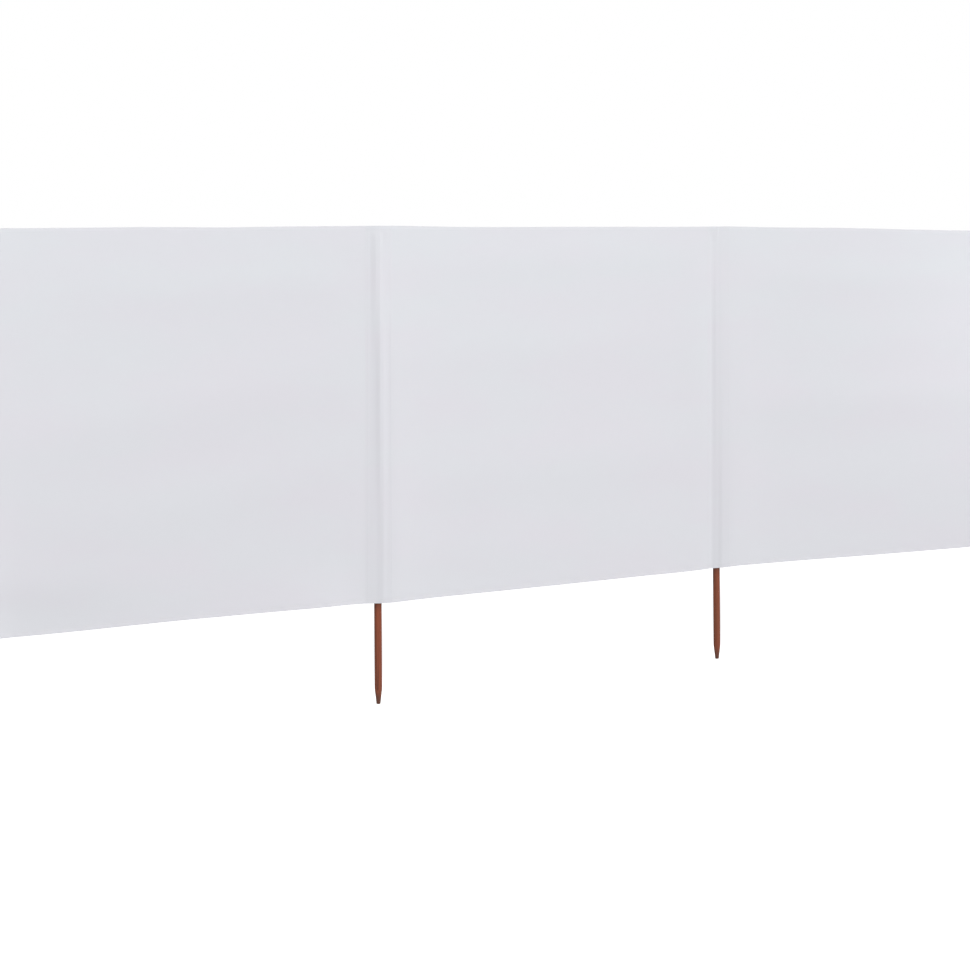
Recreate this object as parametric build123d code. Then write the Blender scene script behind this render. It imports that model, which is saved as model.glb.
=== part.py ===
from build123d import *
import math
import os

# Fabric windbreak: a band of pale cloth held up by wooden stakes that stand in sewn sleeves.
# Millimetres. The row runs along X, its front faces -Y, and Z is up.
# The origin is the middle of the flat tip of the middle stake.

# The row
bays = 6
bay_pitch = 1333.0
stagger = 65.0

# The stakes: round softwood, cut to a blunt point below and eased at the top
pole_length = 1500.0
pole_diameter = 24.0
tip_length = 46.0
tip_diameter = 13.0
pole_end_round = 3.0

# The cloth, which passes a little in front of the middle of each stake
cloth_height = 1200.0
cloth_thickness = 0.8
cloth_forward = 6.0
cloth_above_pole = 22.0

# The sleeves: a second layer sewn to the cloth along a line on each side of the stake
tunnel_width = 70.0
tunnel_clearance = 0.3
seam_line = 1.2
seam_allowance = 9.0
closing_height = 10.0

# The hems
hem_depth = 15.0
hem_layers = 2

pole_radius = pole_diameter / 2
pole_count = bays + 1
middle_pole = bays // 2
step = math.sqrt(bay_pitch**2 - stagger**2)

cloth_top = pole_length + cloth_above_pole
cloth_bottom = cloth_top - cloth_height

# The layers of a hem also lie over the edge of its panel.
fold_depth = hem_layers * cloth_thickness

# A sleeve closes over the eased edge of its stake and is flat from there to the top.
closing_start = pole_length - pole_end_round / 4
closing_top = closing_start + closing_height

# Distances from the middle of a stake, along a bay
seam_start = tunnel_width / 2
panel_start = seam_start + seam_line
flange_end = panel_start + seam_allowance

# Half thicknesses, measured from the middle plane of a panel
panel_half = cloth_thickness / 2
seam_half = panel_half + cloth_thickness

# How far a cut runs past the solid that it opens
overcut = 1.0


def pole_place(index):
    """Middle of a stake on the ground. Every second stake stands back by the stagger."""
    offset = index - middle_pole
    back = stagger if offset % 2 else 0.0
    return Vector(offset * step, back, 0)


def bay_angle(index):
    """Direction in plan from a stake to the next one, in degrees."""
    run = pole_place(index + 1) - pole_place(index)
    return math.degrees(math.atan2(run.Y, run.X))


def bay_frame(index):
    """A frame on the stake that starts a bay: X along the bay, Y from the cloth to the back."""
    return Location(pole_place(index), (0, 0, bay_angle(index))) * Pos(0, -cloth_forward, 0)


def make_pole(index):
    """One turned stake: blunt point, round shaft, eased top edge."""
    shaft_top = pole_length - pole_end_round
    with BuildPart() as pole:
        with BuildSketch(Plane.XZ):
            with BuildLine():
                Polyline(
                    (0, pole_length),
                    (0, 0),
                    (tip_diameter / 2, 0),
                    (pole_radius, tip_length),
                    (pole_radius, shaft_top),
                )
                JernArc((pole_radius, shaft_top), (0, 1), pole_end_round, 90)
                Line((pole_radius - pole_end_round, pole_length), (0, pole_length))
            make_face()
        revolve(axis=Axis.Z)
    return Pos(pole_place(index)) * pole.part


def on_each_side(sides, shape):
    """Copies of a shape made for the +X side of a stake, one turned to each bay that it has."""
    copies = []
    for angle, mirrored in sides:
        copy = mirror(shape, about=Plane.YZ) if mirrored else shape
        copies.append(Rot(0, 0, angle) * copy)
    return copies


def joined(shapes):
    """One shape from one or two."""
    return shapes[0] + shapes[1:] if len(shapes) > 1 else shapes[0]


def tunnel(sides, radius, seam_thickness, bottom, lowered):
    """A sleeve as a filled form, drawn out from round the stake to a seam in each bay.

    Its upright walls end in a roof that closes on the plane of the cloth.
    """
    front = -cloth_forward - seam_thickness / 2
    back = -cloth_forward + seam_thickness / 2
    with BuildSketch() as plan:
        with BuildLine():
            CenterArc((0, 0), radius, 0, 360)
            for angle, mirrored in sides:
                reach = -seam_start if mirrored else seam_start
                ends = [Vector(reach, y).rotate(Axis.Z, angle) for y in (front, back)]
                Line(ends[0], ends[1])
        make_hull()
    upright = Pos(0, 0, bottom) * extrude(plan.sketch, cloth_top - bottom)

    eaves = radius + overcut
    side = Polygon(
        (eaves, bottom),
        (eaves, closing_start - lowered),
        (back, closing_top - lowered),
        (back, cloth_top - lowered),
        (front, cloth_top - lowered),
        (front, closing_top - lowered),
        (-eaves, closing_start - lowered),
        (-eaves, bottom),
        align=None,
    )
    start = -overcut if len(sides) > 1 else -eaves
    half = Pos(start, 0, 0) * extrude(Plane.YZ * side, seam_start + overcut - start)
    return upright & joined(on_each_side(sides, half))


def seam_strip(start, end, thickness, bottom, top):
    """A flat strip in the plane of the cloth, beside the tunnel."""
    strip = Box(end - start, thickness, top - bottom, align=(Align.MIN, Align.CENTER, Align.MIN))
    return Pos(start, -cloth_forward, bottom) * strip


def make_sleeve(index):
    """The sewn sleeve of one stake, open at the bottom and sewn shut at the top.

    Its two layers part round the stake and clamp the edge of a panel beyond each seam.
    """
    sides = []
    if index < bays:
        sides.append((bay_angle(index), False))
    if index > 0:
        sides.append((bay_angle(index - 1), True))

    bore = pole_radius + tunnel_clearance
    below = cloth_bottom - overcut
    solid = tunnel(sides, bore + cloth_thickness, 2 * seam_half, cloth_bottom, 0)
    hollow = tunnel(sides, bore, cloth_thickness, below, cloth_thickness)
    flange = seam_strip(seam_start - overcut, flange_end, 2 * seam_half, cloth_bottom, cloth_top)
    slot = seam_strip(
        panel_start, flange_end + overcut, cloth_thickness, below, cloth_top - fold_depth
    )
    sleeve = joined([solid] + on_each_side(sides, flange))
    sleeve -= [hollow] + on_each_side(sides, slot)
    return Pos(pole_place(index)) * sleeve


def make_panel(index):
    """One bay of flat cloth, its side edges held between the layers of two sleeves."""
    panel = Box(
        bay_pitch - 2 * panel_start,
        cloth_thickness,
        cloth_height - 2 * fold_depth,
        align=(Align.MIN, Align.CENTER, Align.MIN),
    )
    return bay_frame(index) * Pos(panel_start, 0, cloth_bottom + fold_depth) * panel


def make_hem(index, at_top):
    """The cloth turned over the edge of a panel and sewn down behind it."""
    back = panel_half + fold_depth
    fold_radius = (back + panel_half) / 2
    fold_middle = back - fold_radius
    with BuildPart() as hem:
        with BuildSketch(Plane.YZ):
            with BuildLine():
                Polyline(
                    (back, -fold_radius),
                    (back, -hem_depth),
                    (panel_half, -hem_depth),
                    (panel_half, -fold_depth),
                    (-panel_half, -fold_depth),
                    (-panel_half, -fold_radius),
                )
                ThreePointArc((-panel_half, -fold_radius), (fold_middle, 0), (back, -fold_radius))
            make_face()
        extrude(amount=bay_pitch - 2 * flange_end)
    if at_top:
        return bay_frame(index) * Pos(flange_end, 0, cloth_top) * hem.part
    return bay_frame(index) * Pos(flange_end, 0, cloth_bottom) * mirror(hem.part, about=Plane.XY)


def save(shape, name):
    export_step(shape, f"parts/{name}.step")


os.makedirs("parts", exist_ok=True)
for index in range(pole_count):
    save(make_pole(index), f"pole_{index + 1}")
    save(make_sleeve(index), f"sleeve_{index + 1}")
for index in range(bays):
    save(make_panel(index), f"panel_{index + 1}")
    save(make_hem(index, at_top=True), f"top_hem_{index + 1}")
    save(make_hem(index, at_top=False), f"bottom_hem_{index + 1}")
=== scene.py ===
import math

import bmesh
import bpy
import numpy as np
from mathutils import Matrix, Vector


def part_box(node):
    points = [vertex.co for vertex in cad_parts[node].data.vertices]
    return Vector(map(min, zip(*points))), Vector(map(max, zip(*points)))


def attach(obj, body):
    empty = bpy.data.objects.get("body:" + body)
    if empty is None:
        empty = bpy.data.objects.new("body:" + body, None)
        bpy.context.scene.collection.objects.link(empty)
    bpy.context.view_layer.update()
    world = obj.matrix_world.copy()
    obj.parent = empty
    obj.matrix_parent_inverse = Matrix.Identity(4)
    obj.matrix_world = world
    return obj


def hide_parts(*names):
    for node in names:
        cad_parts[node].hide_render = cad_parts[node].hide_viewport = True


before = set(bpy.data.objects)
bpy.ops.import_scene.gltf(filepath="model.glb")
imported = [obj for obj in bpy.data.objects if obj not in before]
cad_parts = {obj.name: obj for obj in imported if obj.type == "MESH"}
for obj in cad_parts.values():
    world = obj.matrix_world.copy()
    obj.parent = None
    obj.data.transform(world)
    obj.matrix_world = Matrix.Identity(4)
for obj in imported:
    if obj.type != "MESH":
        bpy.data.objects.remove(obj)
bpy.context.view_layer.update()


# The stakes: round rods of pine, turned to a blunt point below and eased at the top.
# They are dipped in a red-brown stain, which soaks in deeper along the soft grain and at the tip.
# Each stands on its own tip, and carries the cloth in a sleeve.
stake_count = 7
stake_length = 1.5
stake_radius = 0.012
tip_radius = 0.0065
tip_length = 0.046
top_round = 0.003
stake_sides = 48
bare_height = 0.315
tip_edge = 0.0008
waviness = 0.006
# How far each tip stands to the right of its stake's top, as the rods are not quite straight
tip_bows = (0.0012, -0.0010, 0.0018, 0.0021, 0.0029, 0.0011, -0.0014)
stain_light = (0.272, 0.057, 0.0185)
stain_dark = (0.122, 0.030, 0.013)
end_grain_stain = (0.105, 0.046, 0.030)
blotch_stain = (0.165, 0.060, 0.026)
# Heights between which the soaked tip fades out, and the painted shade just below the cloth, where
# the cloth shades the stake, fades in
soaked_heights = (0.022, 0.056)
painted_cloth_shade_heights = (0.288, 0.322)


def stake_place(index):
    """Middle of a stake on the ground."""
    low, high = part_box(f"pole_{index + 1}")
    return Vector(((low.x + high.x) / 2, (low.y + high.y) / 2, 0))


stake_places = [stake_place(index) for index in range(stake_count)]


def new_group(name, inputs, outputs):
    """An empty shader node group with its sockets, given as names with their kinds and values."""
    group = bpy.data.node_groups.new(name, "ShaderNodeTree")
    for label, kind, value in inputs:
        socket = group.interface.new_socket(label, in_out="INPUT", socket_type=f"NodeSocket{kind}")
        if value is not None:
            socket.default_value = value
    for label, kind in outputs:
        group.interface.new_socket(label, in_out="OUTPUT", socket_type=f"NodeSocket{kind}")
    start = group.nodes.new("NodeGroupInput")
    end = group.nodes.new("NodeGroupOutput")
    return group, start, end


def sum_node(tree, operation, first, second=None, third=None):
    """A Math node on sockets or plain numbers."""
    node = tree.nodes.new("ShaderNodeMath")
    node.operation = operation
    for socket, value in zip(node.inputs, (first, second, third)):
        if isinstance(value, (int, float)):
            socket.default_value = value
        elif value is not None:
            tree.links.new(value, socket)
    return node.outputs[0]


def stretched(tree, vector, scale, shift=(0, 0, 0)):
    """A pattern's coordinates, shifted and then stretched."""
    moved = tree.nodes.new("ShaderNodeMapping")
    moved.inputs["Location"].default_value = shift
    moved.inputs["Scale"].default_value = scale
    tree.links.new(vector, moved.inputs["Vector"])
    return moved.outputs["Vector"]


def cloudy(tree, vector, scale, detail=3.0, roughness=0.5):
    """Soft noise from 0 to 1."""
    noise = tree.nodes.new("ShaderNodeTexNoise")
    noise.inputs["Scale"].default_value = scale
    noise.inputs["Detail"].default_value = detail
    noise.inputs["Roughness"].default_value = roughness
    tree.links.new(vector, noise.inputs["Vector"])
    return noise.outputs["Fac"]


def ranged(tree, value, low, high, to_low=0.0, to_high=1.0):
    """A value carried smoothly from one range to another."""
    node = tree.nodes.new("ShaderNodeMapRange")
    node.interpolation_type = "SMOOTHSTEP"
    for label, number in (
        ("From Min", low), ("From Max", high), ("To Min", to_low), ("To Max", to_high)
    ):
        node.inputs[label].default_value = number
    tree.links.new(value, node.inputs["Value"])
    return node.outputs["Result"]


def mixed(tree, share, first, second, blend="MIX"):
    """Two colours mixed by a share. Each is a socket or three numbers."""
    node = tree.nodes.new("ShaderNodeMix")
    node.data_type = "RGBA"
    node.blend_type = blend
    node.clamp_factor = True
    pairs = ((node.inputs[0], share), (node.inputs[6], first), (node.inputs[7], second))
    for socket, value in pairs:
        if isinstance(value, tuple):
            socket.default_value = (*value, 1)
        elif isinstance(value, (int, float)):
            socket.default_value = value
        else:
            tree.links.new(value, socket)
    return node.outputs[2]


def make_pine_grain():
    """Growth bands cut along a rod, with the fine pores between them."""
    group, start, end = new_group(
        "pine_grain",
        [("Vector", "Vector", None), ("Band Width", "Float", 0.0032)],
        [("Bands", "Float"), ("Pores", "Float"), ("Height", "Float")],
    )
    place = start.outputs["Vector"]
    waver = cloudy(group, stretched(group, place, (9, 9, 1.3)), 1.0, 2.0)
    heart = stretched(group, place, (1, 1, 0), (0.021, 0.034, 0))
    reach = group.nodes.new("ShaderNodeVectorMath")
    reach.operation = "LENGTH"
    group.links.new(heart, reach.inputs[0])
    bent = sum_node(group, "MULTIPLY_ADD", waver, 0.011, reach.outputs["Value"])
    turns = sum_node(group, "DIVIDE", bent, start.outputs["Band Width"])
    tooth = sum_node(group, "FRACT", turns)
    late = sum_node(group, "POWER", tooth, 2.6)
    pores = cloudy(group, stretched(group, place, (1500, 1500, 26)), 1.0, 3.0, 0.65)
    raised = sum_node(group, "MULTIPLY_ADD", late, 0.6, pores)
    group.links.new(late, end.inputs["Bands"])
    group.links.new(pores, end.inputs["Pores"])
    group.links.new(raised, end.inputs["Height"])
    return group


def place_group(tree, group, **values):
    """A node group placed in a material, with its inputs as sockets or plain values."""
    node = tree.nodes.new("ShaderNodeGroup")
    node.node_tree = group
    for label, value in values.items():
        socket = node.inputs[label.replace("_", " ")]
        if isinstance(value, bpy.types.NodeSocket):
            tree.links.new(value, socket)
        else:
            socket.default_value = value
    return node


def new_material(name, roughness, coordinates):
    """A material with its shader, and the coordinates that its patterns read."""
    material = bpy.data.materials.new(name)
    material.use_nodes = True
    tree = material.node_tree
    shader = tree.nodes["Principled BSDF"]
    shader.inputs["Roughness"].default_value = roughness
    where = tree.nodes.new("ShaderNodeTexCoord")
    return material, tree, shader, where.outputs[coordinates]


def bumped(tree, shader, height, distance, strength=1.0):
    """Relief on a material from a height."""
    bump = tree.nodes.new("ShaderNodeBump")
    bump.inputs["Strength"].default_value = strength
    bump.inputs["Distance"].default_value = distance
    tree.links.new(height, bump.inputs["Height"])
    tree.links.new(bump.outputs["Normal"], shader.inputs["Normal"])


def make_stained_pine():
    """Red-brown stain over pine, darker in the late wood, the pores and the tip, with painted shade
    just below the cloth.
    """
    material, tree, shader, place = new_material("stained_pine_wood", 0.62, "Object")
    grain = place_group(tree, make_pine_grain(), Vector=place)
    blotches = cloudy(tree, stretched(tree, place, (26, 26, 5)), 1.0, 3.0)
    colour = mixed(tree, ranged(tree, grain.outputs["Bands"], 0.1, 0.95), stain_light, stain_dark)
    pores = ranged(tree, grain.outputs["Pores"], 0.48, 0.66, 0.0, 0.45)
    colour = mixed(tree, pores, colour, stain_dark)
    colour = mixed(tree, ranged(tree, blotches, 0.35, 0.75, 0.0, 0.4), colour, blotch_stain)
    parts = tree.nodes.new("ShaderNodeSeparateXYZ")
    tree.links.new(place, parts.inputs["Vector"])
    ragged = sum_node(tree, "MULTIPLY_ADD", blotches, 0.02, parts.outputs["Z"])
    soaked = ranged(tree, ragged, *soaked_heights, 0.6, 0.0)
    colour = mixed(tree, soaked, colour, end_grain_stain)
    # Painted shade: the stake is darkened just below the cloth, where the cloth shades it.
    painted_cloth_shade = ranged(tree, parts.outputs["Z"], *painted_cloth_shade_heights, 0.0, 0.55)
    colour = mixed(tree, painted_cloth_shade, colour, stain_dark)
    tree.links.new(colour, shader.inputs["Base Color"])
    dull = ranged(tree, grain.outputs["Height"], 0.3, 1.3, 0.52, 0.74)
    tree.links.new(dull, shader.inputs["Roughness"])
    bumped(tree, shader, grain.outputs["Height"], 0.00022, 0.6)
    return material


def show(mesh, name, material, crisp=40):
    """Puts a finished mesh in the scene, smooth but for its crisp edges."""
    mesh.name = name
    mesh.materials.clear()
    mesh.materials.append(material)
    mesh.shade_smooth()
    mesh.set_sharp_from_angle(angle=math.radians(crisp))
    piece = bpy.data.objects.new(name, mesh)
    bpy.context.collection.objects.link(piece)
    return piece


def turn_stake(index):
    """A rod spun from its outline, with the slight waviness of turned softwood."""
    outline = [
        (0, 0),
        (tip_radius - tip_edge, 0),
        (tip_radius, tip_edge),
        (stake_radius - 0.0006, tip_length - 0.004),
        (stake_radius, tip_length + 0.003),
    ]
    shaft_top = stake_length - top_round
    outline += [(stake_radius, height) for height in np.linspace(0.09, shaft_top, 40)]
    for angle in np.radians((22.5, 45, 67.5, 90)):
        inset = top_round * (1 - math.cos(angle))
        outline.append((stake_radius - inset, shaft_top + top_round * math.sin(angle)))
    outline.append((0, stake_length))
    rod = bmesh.new()
    points = [rod.verts.new((radius, 0, height)) for radius, height in outline]
    edges = [rod.edges.new(pair) for pair in zip(points, points[1:])]
    bmesh.ops.spin(
        rod, geom=points + edges, cent=(0, 0, 0), axis=(0, 0, 1), angle=2 * math.pi,
        steps=stake_sides, use_merge=True,
    )
    bmesh.ops.remove_doubles(rod, verts=rod.verts, dist=1e-6)
    bmesh.ops.recalc_face_normals(rod, faces=rod.faces)
    phase = 1.7 * index
    for point in rod.verts:
        around = math.atan2(point.co.y, point.co.x)
        height = point.co.z
        wave = math.sin(2 * around + 9 * height + phase) + 0.6 * math.sin(3 * around - 21 * height)
        grow = 1 + waviness * wave * min(1, height / 0.02)
        point.co.x *= grow
        point.co.y *= grow
        point.co.x += tip_bows[index] * max(0, 1 - height / bare_height)
    bmesh.ops.translate(rod, verts=rod.verts, vec=stake_places[index])
    mesh = bpy.data.meshes.new(f"stake_{index + 1}")
    rod.to_mesh(mesh)
    rod.free()
    return mesh


stained_pine = make_stained_pine()
for index in range(stake_count):
    stake = show(turn_stake(index), f"stake_{index + 1}", stained_pine)
    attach(stake, "root")
    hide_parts(f"pole_{index + 1}")


# The panels: one bay of pale plain-woven cloth each, cut to fit between two sleeves.
# Each is stretched from stake to stake, and hangs with a little slack, so that it sags
# along its edges and lies in long shallow folds.
bay_count = stake_count - 1
bay_length = (stake_places[1] - stake_places[0]).length
cloth_low, cloth_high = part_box("sleeve_4")
cloth_bottom = cloth_low.z
cloth_top = cloth_high.z
cloth_height = cloth_top - cloth_bottom
cloth_thickness = 0.0005
cloth_forward = 0.006
panel_start = 0.0362
fold_depth = 0.0016
cloth_colour = (0.702, 0.693, 0.729)
cool_tint = (0.985, 0.994, 0.995)
warm_tint = (0.992, 0.979, 0.991)
# Painted light: the panels turn a touch greener towards the top, a painted tint of the light falling
# on their upper part.
painted_top_light_tint = (0.984, 1.0, 0.994)
painted_top_light_heights = (0.55, 1.15)
hem_brightness = 1.03
# How far from the edge of a panel the turned layers of its hem show through
hem_shows = 0.0134
# The cloth turns from one bay to the next over this width, and its folds die out over this one
turning_width = 0.05
fold_fade = 0.15

# How far the top and the bottom edge hang below level, in mm, by place along the row in bays
top_drops = (
    (0, 1), (0.15, 4), (0.5, 7), (0.85, 5), (1, 2), (1.15, 4), (1.5, 7), (1.85, 8.5), (2, 8),
    (2.11, 9.8), (2.24, 8.8), (2.31, 7.6), (2.45, 5.6), (2.59, 6.4), (2.8, 2.7), (2.95, 1),
    (3.03, 0), (3.11, 1.4), (3.2, 3), (3.58, 1.7), (3.9, 0.7), (4.03, -0.6), (4.2, 2.6),
    (4.4, 3.8), (4.6, 8.5), (4.82, 12.4), (5, 8), (5.15, 9), (5.5, 8), (5.85, 4), (6, 1),
)
bottom_drops = (
    (0, 2), (0.5, 5), (1, 4), (1.5, 8), (2, 11), (2.11, 15), (2.24, 14.6), (2.38, 9.4),
    (2.52, 4.4), (2.66, 2.1), (2.8, -0.6), (2.93, -2), (3, 0), (3.06, 0.7), (3.2, 2),
    (3.45, 3.1), (3.75, 3), (3.92, 2.8), (4, 0.1), (4.05, -2.5), (4.12, -1.5), (4.28, -0.8),
    (4.46, 0.4), (4.6, 0.7), (4.82, 0.6), (5, 3), (5.5, 6), (6, 2),
)

# The cloth's line in plan beside a stake, near the bottom, half way and near the top:
# mm across it, and mm in front of its middle
ridge_levels = (0.1, 0.6, 0.9)
ridge_lines = (
    (
        (-300, 6), (-80, 6), (-47, 6.1), (-38, 6.7), (-30, 7.7), (-22, 9), (-14, 10.3),
        (-8, 11.4), (-3, 12.7), (2, 14.5), (7, 16.4), (12, 17.7), (17, 18.2), (23, 18.4),
        (29, 19.3), (36, 20.4), (44, 21), (56, 21), (75, 19.6), (110, 15.2), (200, 8), (300, 6),
    ),
    (
        (-300, 6), (-80, 6), (-45, 6), (-37, 6.1), (-28, 6.9), (-20, 8.3), (-12, 10.3),
        (-6, 12.6), (0, 15), (6, 15.9), (11, 16), (17, 14.6), (23, 12.6), (28, 11.6), (33, 12),
        (42, 13.5), (52, 14), (70, 13.2), (110, 10.4), (200, 7), (300, 6),
    ),
    (
        (-300, 6), (-80, 6), (-45, 6.1), (-34, 6.5), (-27, 7.4), (-20, 9.6), (-13, 11.9),
        (-5, 12.7), (1, 12.9), (7, 11.3), (13, 9.6), (20, 9.7), (30, 10.2), (45, 10.2),
        (70, 9.2), (110, 7.8), (180, 6.4), (300, 6),
    ),
)
valley_levels = (0.08, 0.62, 0.95)
valley_lines = (
    (
        (-300, 6), (-180, 6.8), (-110, 7.8), (-70, 8.4), (-50, 7.6), (-36, 6.3), (-28, 5.6),
        (-24, 5.8), (-17, 8), (-9, 10.8), (-3, 12.7), (3, 14.9), (8, 16.8), (14, 18.4),
        (22, 19.6), (34, 20.9), (48, 21.8), (65, 21.4), (100, 18.2), (180, 11), (300, 7),
        (500, 6),
    ),
    (
        (-300, 6), (-180, 8), (-110, 11.2), (-80, 12.8), (-63, 12.8), (-48, 11), (-36, 8.7),
        (-28, 7.2), (-25, 7.3), (-21, 8.6), (-14, 11.6), (-9, 13.3), (-4, 14.4), (2, 15.4),
        (8, 16.4), (14, 17.2), (22, 17.9), (35, 18.3), (55, 18.3), (80, 17), (150, 11.5),
        (300, 7), (500, 6),
    ),
    (
        (-300, 6), (-150, 8), (-80, 9.8), (-50, 9.6), (-35, 9.1), (-26, 9.0), (-20, 9.8),
        (-12, 11.5), (-4, 12.8), (4, 13.6), (12, 14.4), (22, 15.1), (35, 15.6), (50, 15.8),
        (80, 15), (150, 11), (300, 7), (500, 6),
    ),
)
end_line = ((-100, 6), (-60, 6.2), (-35, 6.6), (-20, 9), (-8, 12), (0, 12.9))

# Shallow folds in each bay: place along in m, height in m, half length and half width in m,
# rise to the right, and how far it stands forward in mm, or back where that is below zero
bay_folds = (
    (
        (0.45, 1.36, 0.45, 0.05, 0.03, 2.2), (0.60, 1.10, 0.45, 0.07, 0.10, 4.0),
        (0.90, 0.80, 0.50, 0.08, -0.10, 4.2), (0.50, 0.52, 0.40, 0.06, 0.05, 3.0),
    ),
    (
        (0.80, 1.30, 0.50, 0.06, -0.08, 3.4), (0.55, 0.98, 0.45, 0.07, 0.12, 4.0),
        (0.85, 0.66, 0.45, 0.07, 0.02, 3.6), (0.30, 0.45, 0.25, 0.05, 0.0, 2.4),
    ),
    (
        (0.85, 1.34, 0.40, 0.045, 0.02, 2.2), (0.69, 0.97, 0.50, 0.075, 0.16, 4.6),
        (0.90, 0.715, 0.40, 0.06, 0.17, 3.2), (0.22, 0.475, 0.22, 0.05, -0.08, 4.4),
        (0.20, 0.29, 0.26, 0.17, 0.0, -19), (1.17, 0.30, 0.13, 0.07, 0.0, 11),
    ),
    (
        (0.60, 1.41, 0.55, 0.035, 0.03, 1.9), (0.60, 1.125, 0.50, 0.05, 0.01, 2.2),
        (0.70, 0.725, 0.55, 0.065, 0.03, 3.6), (0.35, 0.47, 0.30, 0.05, -0.05, 1.6),
    ),
    (
        (0.55, 1.345, 0.50, 0.045, -0.03, 2.6), (0.65, 0.90, 0.55, 0.055, 0.02, 4.0),
        (0.45, 0.60, 0.35, 0.06, 0.04, 2.0), (0.95, 1.12, 0.35, 0.06, 0.10, 1.8),
    ),
    (
        (0.50, 1.34, 0.50, 0.05, 0.05, 2.8), (0.75, 1.02, 0.50, 0.07, -0.06, 4.0),
        (0.45, 0.72, 0.40, 0.06, 0.05, 3.2), (0.90, 0.50, 0.30, 0.05, 0.05, 2.4),
    ),
)


def eased(share):
    """0 to 1 with a soft start and end."""
    share = np.clip(share, 0, 1)
    return share * share * (3 - 2 * share)


def faired(place, line):
    """A smooth line through a few points."""
    stations, values = np.array(line, float).T
    slopes = np.gradient(values, stations)
    step = np.clip(np.searchsorted(stations, place) - 1, 0, len(stations) - 2)
    width = stations[step + 1] - stations[step]
    share = np.clip((place - stations[step]) / width, 0, 1)
    rise = eased(share)
    lean = share * (1 - share) ** 2
    back = share * share * (share - 1)
    flat = values[step] * (1 - rise) + values[step + 1] * rise
    return flat + width * (lean * slopes[step] + back * slopes[step + 1])


def drop(stake, across, height):
    """How far the cloth hangs below level, from a stake and the distance across it."""
    place = stake + across / bay_length
    share = (height - cloth_bottom) / cloth_height
    return (faired(place, top_drops) * share + faired(place, bottom_drops) * (1 - share)) / 1000


def stake_line(stake, across, height):
    """Depth of the cloth's line beside one stake, in front of the stake's middle."""
    if stake == 0:
        return faired(-across * 1000, end_line) / 1000
    if stake == bay_count:
        return faired(across * 1000, end_line) / 1000
    levels = ridge_levels if stake % 2 else valley_levels
    low, middle, high = (
        faired(across * 1000, line) / 1000 for line in (ridge_lines if stake % 2 else valley_lines)
    )
    share = (height - cloth_bottom) / cloth_height
    depth = low + (middle - low) * eased((share - levels[0]) / (levels[1] - levels[0]))
    return depth + (high - middle) * eased((share - levels[1]) / (levels[2] - levels[1]))


def cloth_depth(bay, along, height):
    """Depth of a bay's cloth in front of the line between its stakes."""
    beside = stake_line(bay, along, height) + stake_line(bay + 1, along - bay_length, height)
    folds = 0
    for place, level, half_length, half_width, rise, forward in bay_folds[bay]:
        out = (along - place) / half_length
        up = (height - level - rise * (along - place)) / half_width
        folds = folds + forward * np.exp(-0.5 * (out**2 + up**2))
    nearest = np.minimum(along, bay_length - along)
    return beside - cloth_forward + folds / 1000 * eased((nearest - panel_start) / fold_fade)


def bay_turn(bay):
    """Direction of a bay in plan."""
    bay = min(max(bay, 0), bay_count - 1)
    run = stake_places[bay + 1] - stake_places[bay]
    return math.atan2(run.y, run.x)


def placed(stake, across, depth, height):
    """Points of the hanging cloth, from a stake, the distance across it and the depth in front."""
    left = bay_turn(stake - 1) if stake > 0 else bay_turn(stake)
    right = bay_turn(stake)
    if stake == bay_count:
        right = left
    facing = left + (right - left) * eased(across / turning_width + 0.5)
    line = np.where(across < 0, left, right)
    middle = stake_places[stake]
    x = middle.x + across * np.cos(line) + depth * np.sin(facing)
    y = middle.y + across * np.sin(line) - depth * np.cos(facing)
    z = height - drop(stake, across, height)
    return np.stack((x, y, z), axis=1)


def cut(width, length, columns, rows):
    """A flat piece of cloth on the table from one corner, its UV map in metres."""
    cloth = bmesh.new()
    bmesh.ops.create_grid(cloth, x_segments=columns, y_segments=rows, size=0.5, calc_uvs=False)
    bmesh.ops.translate(cloth, verts=cloth.verts, vec=(0.5, 0.5, 0))
    bmesh.ops.scale(cloth, verts=cloth.verts, vec=(width, length, 1))
    flat = cloth.loops.layers.uv.new("flat")
    for face in cloth.faces:
        for corner in face.loops:
            corner[flat].uv = corner.vert.co.xy
    return cloth


def points_of(mesh):
    """A mesh's points as three arrays."""
    flat = np.zeros(len(mesh.vertices) * 3)
    mesh.vertices.foreach_get("co", flat)
    return flat.reshape(-1, 3).T


def sewn_up(cloth, name, move, thickness):
    """Carries a cut cloth's points to where they hang, then gives it its thickness."""
    mesh = bpy.data.meshes.new(name)
    cloth.to_mesh(mesh)
    mesh.vertices.foreach_set("co", move(*points_of(mesh)[:2]).ravel())
    cloth.clear()
    cloth.from_mesh(mesh)
    bmesh.ops.remove_doubles(cloth, verts=cloth.verts, dist=1e-6)
    bmesh.ops.recalc_face_normals(cloth, faces=cloth.faces)
    cloth.to_mesh(mesh)
    cloth.free()
    draft = bpy.data.objects.new(name, mesh)
    bpy.context.collection.objects.link(draft)
    layer = draft.modifiers.new("thickness", "SOLIDIFY")
    layer.thickness = thickness
    layer.offset = 0
    seen = draft.evaluated_get(bpy.context.evaluated_depsgraph_get())
    thick = bpy.data.meshes.new_from_object(seen)
    bpy.data.objects.remove(draft)
    bpy.data.meshes.remove(mesh)
    tidy = bmesh.new()
    tidy.from_mesh(thick)
    bmesh.ops.recalc_face_normals(tidy, faces=tidy.faces)
    tidy.to_mesh(thick)
    tidy.free()
    return thick


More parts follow.
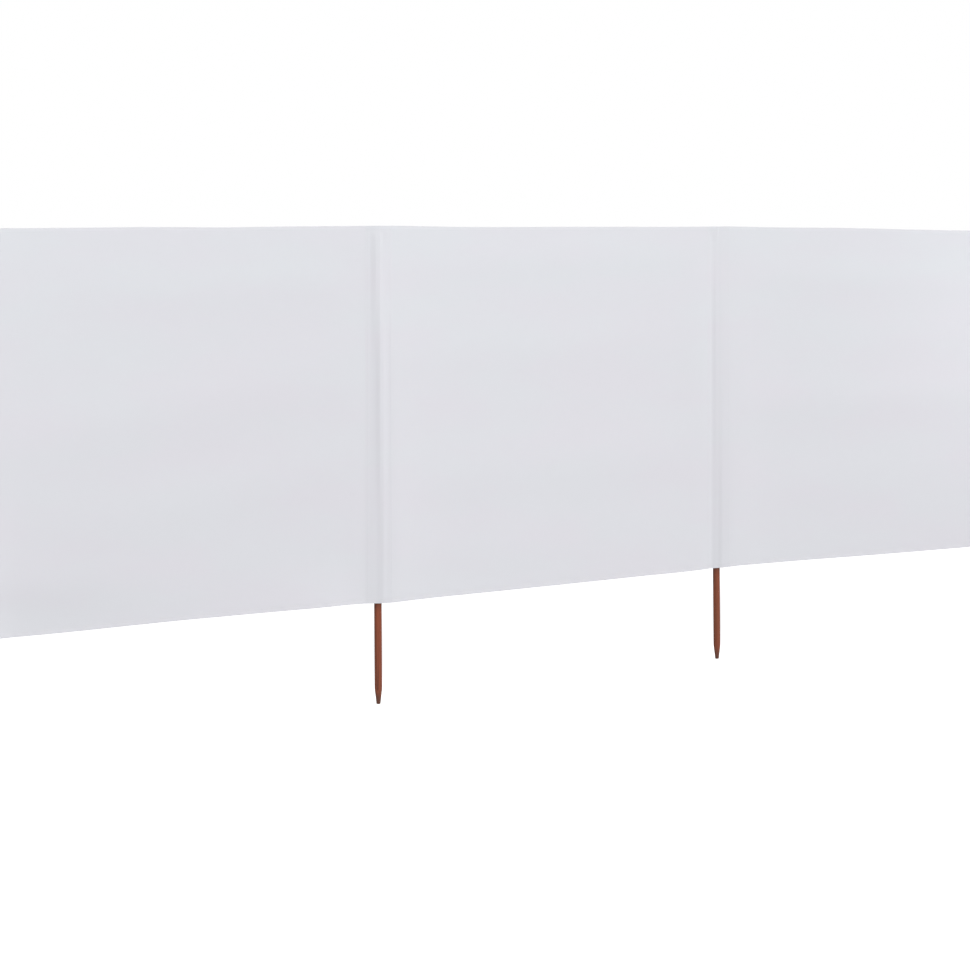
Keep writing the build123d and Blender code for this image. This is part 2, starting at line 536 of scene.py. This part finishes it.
def make_plain_weave():
    """Crossing yarns with their slubs, and the soft unevenness of dyed cloth."""
    group, start, end = new_group(
        "plain_weave",
        [("Vector", "Vector", None), ("Yarn Pitch", "Float", 0.0006)],
        [("Yarns", "Float"), ("Slubs", "Float"), ("Clouds", "Float"), ("Height", "Float")],
    )
    flat = start.outputs["Vector"]
    parts = group.nodes.new("ShaderNodeSeparateXYZ")
    group.links.new(flat, parts.inputs["Vector"])
    turn = sum_node(group, "DIVIDE", math.pi, start.outputs["Yarn Pitch"])
    warp = sum_node(group, "SINE", sum_node(group, "MULTIPLY", parts.outputs["X"], turn))
    weft = sum_node(group, "SINE", sum_node(group, "MULTIPLY", parts.outputs["Y"], turn))
    over = sum_node(group, "MULTIPLY", warp, weft)
    yarns = sum_node(group, "MULTIPLY_ADD", over, 0.5, 0.5)
    along = cloudy(group, stretched(group, flat, (22, 900, 1)), 1.0, 2.0)
    upright = cloudy(group, stretched(group, flat, (900, 18, 1)), 1.0, 2.0)
    slubs = sum_node(group, "MULTIPLY_ADD", along, 0.6, sum_node(group, "MULTIPLY", upright, 0.4))
    clouds = cloudy(group, stretched(group, flat, (1.7, 4.6, 1)), 1.0, 4.0, 0.55)
    height = sum_node(group, "MULTIPLY_ADD", slubs, 1.2, yarns)
    group.links.new(yarns, end.inputs["Yarns"])
    group.links.new(slubs, end.inputs["Slubs"])
    group.links.new(clouds, end.inputs["Clouds"])
    group.links.new(height, end.inputs["Height"])
    return group


plain_weave = make_plain_weave()


def make_cloth(name, colour, length, turned):
    """Pale woven cloth. Where its edges are turned over, two more layers make it lighter."""
    material, tree, shader, flat = new_material(name, 0.9, "UV")
    weave = place_group(tree, plain_weave, Vector=flat)
    shade = tuple(value * 0.93 for value in colour)
    yarns = ranged(tree, weave.outputs["Yarns"], 0.0, 1.0, 0.2, 0.0)
    base = mixed(tree, yarns, colour, shade)
    base = mixed(tree, ranged(tree, weave.outputs["Slubs"], 0.35, 0.65, 0.0, 0.12), base, shade)
    tint = mixed(tree, ranged(tree, weave.outputs["Clouds"], 0.36, 0.64), cool_tint, warm_tint)
    base = mixed(tree, 1.0, base, tint, "MULTIPLY")
    if turned:
        parts = tree.nodes.new("ShaderNodeSeparateXYZ")
        tree.links.new(flat, parts.inputs["Vector"])
        # Painted light: greener towards the top of the panel, standing in for the colour of the light
        # there.
        painted_top_light_share = ranged(tree, parts.outputs["Y"], *painted_top_light_heights, 0.0, 0.5)
        base = mixed(tree, painted_top_light_share, base, mixed(tree, 1.0, base, painted_top_light_tint, "MULTIPLY"))
        below = sum_node(tree, "SUBTRACT", length, parts.outputs["Y"])
        edge = sum_node(tree, "MINIMUM", below, parts.outputs["Y"])
        double = ranged(tree, edge, turned - 0.001, turned + 0.001, 1.0, 0.0)
        light = tuple(value * hem_brightness for value in colour)
        base = mixed(tree, double, base, mixed(tree, 0.75, light, base))
    tree.links.new(base, shader.inputs["Base Color"])
    shader.inputs["Sheen Weight"].default_value = 0.08
    shader.inputs["Sheen Roughness"].default_value = 0.6
    shader.inputs["Specular IOR Level"].default_value = 0.25
    rough = ranged(tree, weave.outputs["Slubs"], 0.3, 0.7, 0.84, 0.95)
    tree.links.new(rough, shader.inputs["Roughness"])
    bumped(tree, shader, weave.outputs["Height"], 0.0001, 0.35)
    return material


panel_length = cloth_height - 2 * fold_depth
panel_width = bay_length - 2 * panel_start
panel_cloth = make_cloth("panel_cloth_woven", cloth_colour, panel_length, hem_shows)


def make_panel(bay):
    """One bay of cloth."""

    def move(x, y):
        along = panel_start + x
        height = cloth_bottom + fold_depth + y
        return placed(bay, along, cloth_depth(bay, along, height), height)

    return sewn_up(cut(panel_width, panel_length, 126, 72), f"cloth_{bay + 1}", move, cloth_thickness)


for bay in range(bay_count):
    panel = show(make_panel(bay), f"cloth_{bay + 1}", panel_cloth)
    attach(panel, "root")
    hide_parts(f"panel_{bay + 1}")


# The hems: the cloth's top and bottom edges, turned over twice to the back and sewn down.
# The fold makes a rounded edge 1.5 mm thick, with two layers 15 mm deep behind the panel.
hem_start = 0.0452
hem_depth = 0.015
layer_pitch = 0.00052
hem_thickness = 0.00048
hem_roll = layer_pitch
hem_tuck = layer_pitch / 2
hem_tuck_short = 0.0012
hem_cloth = make_cloth("hem_cloth_woven", tuple(c * 1.01 for c in cloth_colour), 0, 0)


def hem_path(length):
    """The folded edge in section: behind the panel's middle, and below the edge."""
    top = cloth_thickness / 2
    centre = top + hem_roll
    runs = (
        fold_depth - centre,
        math.pi * hem_roll,
        hem_depth - top - hem_tuck - centre,
        math.pi * hem_tuck,
        hem_depth - top - hem_tuck - centre - hem_tuck_short,
    )
    ends = np.cumsum(runs)
    tuck_level = hem_depth - top - hem_tuck
    over = (length - ends[0]) / hem_roll
    under = (length - ends[2]) / hem_tuck
    parts = [length < ends[0], length < ends[1], length < ends[2], length < ends[3]]
    back = np.select(
        parts,
        [
            0 * length,
            hem_roll - hem_roll * np.cos(over),
            2 * hem_roll + 0 * length,
            2 * hem_roll - hem_tuck + hem_tuck * np.cos(under),
        ],
        2 * hem_roll - 2 * hem_tuck,
    )
    below = np.select(
        parts,
        [
            fold_depth - length,
            centre - hem_roll * np.sin(over),
            centre + length - ends[1],
            tuck_level + hem_tuck * np.sin(under),
        ],
        tuck_level - (length - ends[3]),
    )
    return back, below, ends[-1]


hem_width = bay_length - 2 * hem_start
hem_cut = float(hem_path(np.zeros(1))[2])


def make_hem(bay, at_top):
    """The turned edge of one bay, along its top or its bottom."""

    def move(x, y):
        back, below, _ = hem_path(y)
        along = hem_start + x
        height = cloth_top - below if at_top else cloth_bottom + below
        return placed(bay, along, cloth_depth(bay, along, height) - back, height)

    cloth = cut(hem_width, hem_cut, 124, 1)
    lengths = (
        0, 0.0004, 0.0008, 0.0012, 0.0016, 0.0020, 0.0024, 0.0028, 0.0034, 0.007, 0.012, 0.0158,
        0.0162, 0.0166, 0.0170, 0.0174, 0.021, hem_cut,
    )
    for length in lengths[1:-1]:
        everything = cloth.verts[:] + cloth.edges[:] + cloth.faces[:]
        bmesh.ops.bisect_plane(cloth, geom=everything, plane_co=(0, length, 0), plane_no=(0, 1, 0))
    edge = "top" if at_top else "bottom"
    return sewn_up(cloth, f"{edge}_edge_{bay + 1}", move, hem_thickness)


for bay in range(bay_count):
    for edge in ("top", "bottom"):
        hem = show(make_hem(bay, edge == "top"), f"{edge}_edge_{bay + 1}", hem_cloth)
        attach(hem, "root")
        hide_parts(f"{edge}_hem_{bay + 1}")


# The sleeves: a strip of the same cloth folded over the top of each stake, front and back.
# It is sewn to the panels on each side, closes just above the stake and is open below.
# The end sleeves go round the outside of their stake instead.
sleeve_thickness = 0.0005
sleeve_gap = 0.00053
seam_reach = 0.035
sleeve_reach = 0.0452
sleeve_radius = stake_radius + 0.00045
closing_height = 0.012
fade_start = 1.474
fade_end = 1.514
top_bow = 0.0018
top_crease = 0.0023
crease_left = 0.0055
crease_spread = (0.028, 0.003)
fair_corner = 0.0006
seam_row = 0.0378
edge_press = 0.00035
sleeve_roll_level = cloth_thickness / 2 + sleeve_gap
sleeve_side = cloth_height - sleeve_roll_level
sleeve_cut = 2 * sleeve_side + math.pi * sleeve_gap
outer_wrap = math.pi / 2 * sleeve_radius
sleeve_cloth = make_cloth("sleeve_cloth_woven", cloth_colour, 0, 0)


def seam_depth(stake, side, height):
    """Depth of the cloth at the seam to the left or right of a stake."""
    if side < 0:
        return cloth_depth(stake - 1, bay_length - seam_reach + 0 * height, height)
    return cloth_depth(stake, seam_reach + 0 * height, height)


def flat_depth(stake, across, height):
    """Depth of the closed sleeve: straight from seam to seam, and with the panels beyond."""
    if stake == 0:
        inner = seam_depth(stake, 1, height)
        beyond = cloth_depth(stake, np.maximum(across, seam_reach), height)
        return np.where(across > seam_reach, beyond, inner)
    if stake == bay_count:
        inner = seam_depth(stake, -1, height)
        beyond = cloth_depth(stake - 1, bay_length + np.minimum(across, -seam_reach), height)
        return np.where(across < -seam_reach, beyond, inner)
    left = seam_depth(stake, -1, height)
    right = seam_depth(stake, 1, height)
    share = np.clip((across + seam_reach) / (2 * seam_reach), 0, 1)
    inner = left + (right - left) * share
    on_left = cloth_depth(stake - 1, bay_length + np.minimum(across, -seam_reach), height)
    on_right = cloth_depth(stake, np.maximum(across, seam_reach), height)
    return np.where(across < -seam_reach, on_left, np.where(across > seam_reach, on_right, inner))


def closed_depth(stake, across, height):
    """Depth of the sleeve where it is sewn shut: bowed forward, clear of the stake's end."""
    inside = 1 - np.clip(across / seam_reach, -1, 1) ** 2
    if stake % 2 or stake in (0, bay_count):
        bow = top_bow * inside**2
    else:
        aside = across + crease_left
        bow = top_crease * np.exp(-((aside / np.where(aside < 0, *crease_spread)) ** 2)) * inside
    return flat_depth(stake, across, height) + bow


def stake_reach(across, level):
    """How far forward the stake holds the cloth at a level."""
    over = np.clip((level - stake_length + top_round) / top_round, 0, 1)
    radius = sleeve_radius - top_round * (1 - np.sqrt(1 - over * over))
    tube = np.sqrt(np.maximum(radius**2 - across**2, 0))
    return np.where(level > stake_length + 0.0003, -0.02, tube)


def front_depth(stake, across, height, level):
    """Depth of the sleeve's front layer. Its fold fades into the closed edge above."""
    line = stake_line(stake, across, height) + sleeve_gap
    shut = eased((level - fade_start) / (fade_end - fade_start))
    line = line + (closed_depth(stake, across, height) + sleeve_gap - line) * shut
    tube = stake_reach(across, level)
    return (line + tube + np.sqrt((line - tube) ** 2 + fair_corner**2)) / 2


def back_depth(stake, across, height):
    """Depth of the back layer: tight round the stake, then straight to each seam."""
    depth = np.zeros_like(across)
    for side in (-1, 1):
        if not 0 <= stake + min(side, 0) < bay_count:
            continue
        end = seam_depth(stake, side, height) - sleeve_gap
        reach = np.hypot(seam_reach, end)
        turn = np.arctan2(end, seam_reach) - np.arccos(sleeve_radius / reach)
        touch = sleeve_radius * np.cos(turn)
        touch_depth = sleeve_radius * np.sin(turn)
        out = np.clip(np.abs(across), 0, seam_reach)
        straight = touch_depth + (out - touch) * (end - touch_depth) / (seam_reach - touch)
        tube = -np.sqrt(np.maximum(sleeve_radius**2 - out**2, 0))
        line = np.where(out < touch, tube, straight)
        depth = np.where(across * side >= 0, line, depth)
    return depth


def sleeve_point(stake, across, forward, height):
    """A point of a sleeve. Forward runs from 1 on the front layer to -1 on the back one."""
    outside = (stake == 0) * np.maximum(-across, 0) - (stake == bay_count) * np.minimum(-across, 0)
    angle = outside / sleeve_radius
    round_it = np.cos(angle)
    across = np.where(outside == 0, across, np.sign(across) * sleeve_radius * np.sin(angle))
    level = height - drop(stake, across, height)
    closed = eased((level - stake_length + 0.001) / closing_height)
    beside = np.where(outside == 0, across, 0)
    shut = closed_depth(stake, across, height) + forward * sleeve_gap * round_it
    front = front_depth(stake, beside, height, level)
    back = back_depth(stake, beside, height)
    back = back + (shut - back) * closed
    opened = np.where(forward > 0, front, back) * round_it + shut * (1 - round_it) * closed
    inside = np.abs(across) < seam_reach
    pressed = sleeve_gap - edge_press * eased((np.abs(across) - seam_row) / (sleeve_reach - seam_row))
    held = flat_depth(stake, across, height) + forward * pressed * round_it
    rolled = np.abs(forward) < 0.999
    return across, np.where(inside, np.where(rolled, shut, opened), held)


def sleeve_path(length):
    """The strip in section: which layer it is in, and its height."""
    turn = np.clip((length - sleeve_side) / sleeve_gap, 0, math.pi)
    front = cloth_bottom + length
    back = cloth_bottom + sleeve_cut - length
    roll = cloth_top - sleeve_roll_level + sleeve_gap * np.sin(turn)
    height = np.where(length < sleeve_side, front, np.where(turn < math.pi, roll, back))
    return np.cos(turn), height


def make_sleeve(stake):
    """One sleeve. Its rows crowd round the fold at the top."""
    first = -outer_wrap if stake == 0 else -sleeve_reach
    last = outer_wrap if stake == bay_count else sleeve_reach

    def move(x, y):
        forward, height = sleeve_path(y)
        across, depth = sleeve_point(stake, first + x, forward, height)
        return placed(stake, across, depth, height)

    cloth = cut(last - first, sleeve_cut, 56, 1)
    top_rows = np.array((0.0015, 0.004, 0.007, 0.010, 0.013, 0.016, 0.019, 0.022, 0.026, 0.032))
    roll_rows = sleeve_side + np.linspace(0, math.pi * sleeve_gap, 7)
    side_rows = np.linspace(0.02, sleeve_side - 0.045, 52)
    front_rows = np.concatenate((side_rows, sleeve_side - top_rows))
    for length in np.concatenate((front_rows, roll_rows, sleeve_cut - front_rows)):
        everything = cloth.verts[:] + cloth.edges[:] + cloth.faces[:]
        bmesh.ops.bisect_plane(cloth, geom=everything, plane_co=(0, length, 0), plane_no=(0, 1, 0))
    return sewn_up(cloth, f"pocket_{stake + 1}", move, sleeve_thickness)


for stake in range(stake_count):
    sleeve = show(make_sleeve(stake), f"pocket_{stake + 1}", sleeve_cloth)
    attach(sleeve, "root")
    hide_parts(f"sleeve_{stake + 1}")


# The stitching: lockstitch in white polyester thread, about 4 mm a stitch, seen on both faces.
# A row runs along each hem and across the sleeves in line with it, and down each sleeve seam.
stitch_pitch = 0.004
stitch_half = (0.0016, 0.00034, 0.0003)
stitch_sink = 0.00008
row_inset = 0.012
seam_ends = (0.002, 0.003)
# Painted shade: the white thread is coloured darker than the cloth, standing in for the shade in and
# around the stitch holes.
shade_painted_thread_colour = (0.62, 0.62, 0.65)


def make_thread():
    """Twisted thread, painted a little darker than the cloth as painted shade of its stitch holes."""
    material, tree, shader, place = new_material("sewing_thread", 0.8, "Object")
    twist = cloudy(tree, stretched(tree, place, (1800, 1800, 1800)), 1.0, 2.0)
    dark = tuple(value * 0.8 for value in shade_painted_thread_colour)
    base = mixed(tree, ranged(tree, twist, 0.35, 0.65, 0.0, 0.6), shade_painted_thread_colour, dark)
    tree.links.new(base, shader.inputs["Base Color"])
    tree.links.new(ranged(tree, twist, 0.3, 0.7, 0.7, 0.9), shader.inputs["Roughness"])
    bumped(tree, shader, twist, 0.0001, 0.5)
    return material


sewing_thread = make_thread()


def stitch_row(seam, start, end, upright):
    """Adds one row of stitches to a seam, in flat coordinates: across, forward, height."""
    run = end - start
    step = run.normalized() * stitch_pitch
    stitch = bmesh.new()
    bmesh.ops.create_uvsphere(stitch, u_segments=5, v_segments=3, radius=1)
    quarter = Matrix.Rotation(math.pi / 2, 3, "Y")
    bmesh.ops.rotate(stitch, verts=stitch.verts, cent=(0, 0, 0), matrix=quarter)
    bmesh.ops.scale(stitch, verts=stitch.verts, vec=stitch_half)
    if upright:
        bmesh.ops.rotate(stitch, verts=stitch.verts, cent=(0, 0, 0), matrix=quarter)
    bmesh.ops.translate(stitch, verts=stitch.verts, vec=start + step / 2)
    mesh = bpy.data.meshes.new("stitch")
    stitch.to_mesh(mesh)
    stitch.free()
    draft = bpy.data.objects.new("stitch", mesh)
    bpy.context.collection.objects.link(draft)
    row = draft.modifiers.new("row", "ARRAY")
    row.count = int(run.length / stitch_pitch)
    row.use_relative_offset = False
    row.use_constant_offset = True
    row.constant_offset_displace = step
    seen = draft.evaluated_get(bpy.context.evaluated_depsgraph_get())
    seam.from_mesh(seen.to_mesh())
    seen.to_mesh_clear()
    bpy.data.objects.remove(draft)
    bpy.data.meshes.remove(mesh)


def sewn_on(seam, name, move):
    """Carries a seam's stitches to the hanging cloth."""
    bmesh.ops.recalc_face_normals(seam, faces=seam.faces)
    mesh = bpy.data.meshes.new(name)
    seam.to_mesh(mesh)
    seam.free()
    mesh.vertices.foreach_set("co", move(*points_of(mesh)).ravel())
    piece = show(mesh, name, sewing_thread, crisp=180)
    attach(piece, "root")
    return piece


def sew_hems(bay):
    """The rows along the top and bottom of one bay, front and back."""
    seam = bmesh.new()
    out = cloth_thickness / 2 - stitch_sink
    behind = -cloth_thickness / 2 - 2 * layer_pitch + stitch_sink
    for height in (cloth_top - row_inset, cloth_bottom + row_inset):
        for forward in (out, behind):
            start = Vector((hem_start, forward, height))
            stitch_row(seam, start, Vector((bay_length - hem_start, forward, height)), False)

    def move(x, y, z):
        return placed(bay, x, cloth_depth(bay, x, z) + y, z)

    return sewn_on(seam, f"hem_stitches_{bay + 1}", move)


def sew_sleeve(stake):
    """The seams down both sides of a sleeve, and the rows across it in line with the hems."""
    seam = bmesh.new()
    reach = sleeve_thickness / 2 - stitch_sink
    low = cloth_bottom + seam_ends[0]
    high = cloth_top - seam_ends[1]
    left = -sleeve_reach if stake > 0 else 0
    right = sleeve_reach if stake < bay_count else 0
    for layer in (1, -1):
        forward = layer * (1 + reach)
        if stake > 0:
            start = Vector((-seam_row, forward, low))
            stitch_row(seam, start, Vector((-seam_row, forward, high)), True)
        if stake < bay_count:
            start = Vector((seam_row, forward, low))
            stitch_row(seam, start, Vector((seam_row, forward, high)), True)
        for height in (cloth_top - row_inset, cloth_bottom + row_inset):
            start = Vector((left, forward, height))
            stitch_row(seam, start, Vector((right, forward, height)), False)

    def move(x, y, z):
        layer = np.sign(y)
        across, depth = sleeve_point(stake, x, layer, z)
        return placed(stake, across, depth + y - layer, z)

    return sewn_on(seam, f"sleeve_stitches_{stake + 1}", move)


for bay in range(bay_count):
    rows = sew_hems(bay)
for stake in range(stake_count):
    rows = sew_sleeve(stake)


# The studio: a plain white floor and surround, a soft key light from the front right, a long
# soft light above the front of the row, a small one before the last stake but one, and a level
# camera just below the height of the cloth's top.
floor_size = 60
floor_glow = 0.75
surround_light = 0.32
key_from = (28, 40)
key_softness = 35
key_strength = 1.49
top_place = Vector((-1.0, -2.2, 3.6))
top_aim = Vector((-1.0, 0, 0.9))
top_size = (12.0, 1.2)
top_watts = 104.5
top_tint = (0.95, 1.0, 0.99)
side_place = Vector((2.66, -0.72, 1.2))
side_aim = Vector((2.64, 0.02, 1.12))
side_size = (0.4, 0.75)
side_watts = 0.75
side_tint = (0.95, 1.0, 1.0)
camera_place = (-2.5216, -5.6855, 1.490)
camera_turn = (90, 0, -27.06)
camera_lens = 72.4
camera_shift = -0.257

floor_mesh = bpy.data.meshes.new("floor")
floor_form = bmesh.new()
bmesh.ops.create_grid(floor_form, x_segments=1, y_segments=1, size=floor_size / 2)
floor_form.to_mesh(floor_mesh)
floor_form.free()
floor = bpy.data.objects.new("floor", floor_mesh)
bpy.context.collection.objects.link(floor)
floor_paint = bpy.data.materials.new("floor_paint")
floor_paint.use_nodes = True
floor_tree = floor_paint.node_tree
floor_shader = floor_tree.nodes["Principled BSDF"]
floor_shader.inputs["Base Color"].default_value = (0.84, 0.84, 0.84, 1)
floor_shader.inputs["Roughness"].default_value = 0.9
floor_shader.inputs["Specular IOR Level"].default_value = 0.1
floor_shader.inputs["Emission Color"].default_value = (1, 1, 1, 1)
floor_path = floor_tree.nodes.new("ShaderNodeLightPath")
seen_glow = sum_node(floor_tree, "MULTIPLY", floor_path.outputs["Is Camera Ray"], floor_glow)
floor_tree.links.new(seen_glow, floor_shader.inputs["Emission Strength"])
floor_mesh.materials.append(floor_paint)

world = bpy.data.worlds.new("white_surround")
world.use_nodes = True
bpy.context.scene.world = world
world_tree = world.node_tree
backdrop = world_tree.nodes["Background"]
backdrop.inputs["Color"].default_value = (1, 1, 1, 1)
world_path = world_tree.nodes.new("ShaderNodeLightPath")
world_share = sum_node(
    world_tree, "MULTIPLY_ADD", world_path.outputs["Is Camera Ray"], 1 - surround_light,
    surround_light,
)
world_tree.links.new(world_share, backdrop.inputs["Strength"])

key = bpy.data.lights.new("key", "SUN")
key.energy = key_strength
key.angle = math.radians(key_softness)
key_lamp = bpy.data.objects.new("key", key)
round_it, above = (math.radians(angle) for angle in key_from)
key_from_where = Vector(
    (math.sin(round_it) * math.cos(above), -math.cos(round_it) * math.cos(above), math.sin(above))
)
key_lamp.location = 6 * key_from_where
key_lamp.rotation_euler = (-key_from_where).to_track_quat("-Z", "Y").to_euler()
bpy.context.collection.objects.link(key_lamp)


def hang_softbox(name, size, watts, tint, place, aim):
    """A soft lamp that lights the row without being seen itself."""
    light = bpy.data.lights.new(name, "AREA")
    light.shape = "RECTANGLE"
    light.size = size[0]
    light.size_y = size[1]
    light.energy = watts
    light.color = tint
    lamp = bpy.data.objects.new(name, light)
    lamp.location = place
    lamp.rotation_euler = (aim - place).to_track_quat("-Z", "Y").to_euler()
    lamp.visible_camera = False
    bpy.context.collection.objects.link(lamp)


hang_softbox("top", top_size, top_watts, top_tint, top_place, top_aim)
hang_softbox("side", side_size, side_watts, side_tint, side_place, side_aim)

camera = bpy.data.cameras.new("camera")
camera.lens = camera_lens
camera.shift_y = camera_shift
camera_stand = bpy.data.objects.new("camera", camera)
camera_stand.location = camera_place
camera_stand.rotation_euler = [math.radians(angle) for angle in camera_turn]
bpy.context.collection.objects.link(camera_stand)
bpy.context.scene.camera = camera_stand
bpy.context.scene.view_settings.view_transform = "Standard"
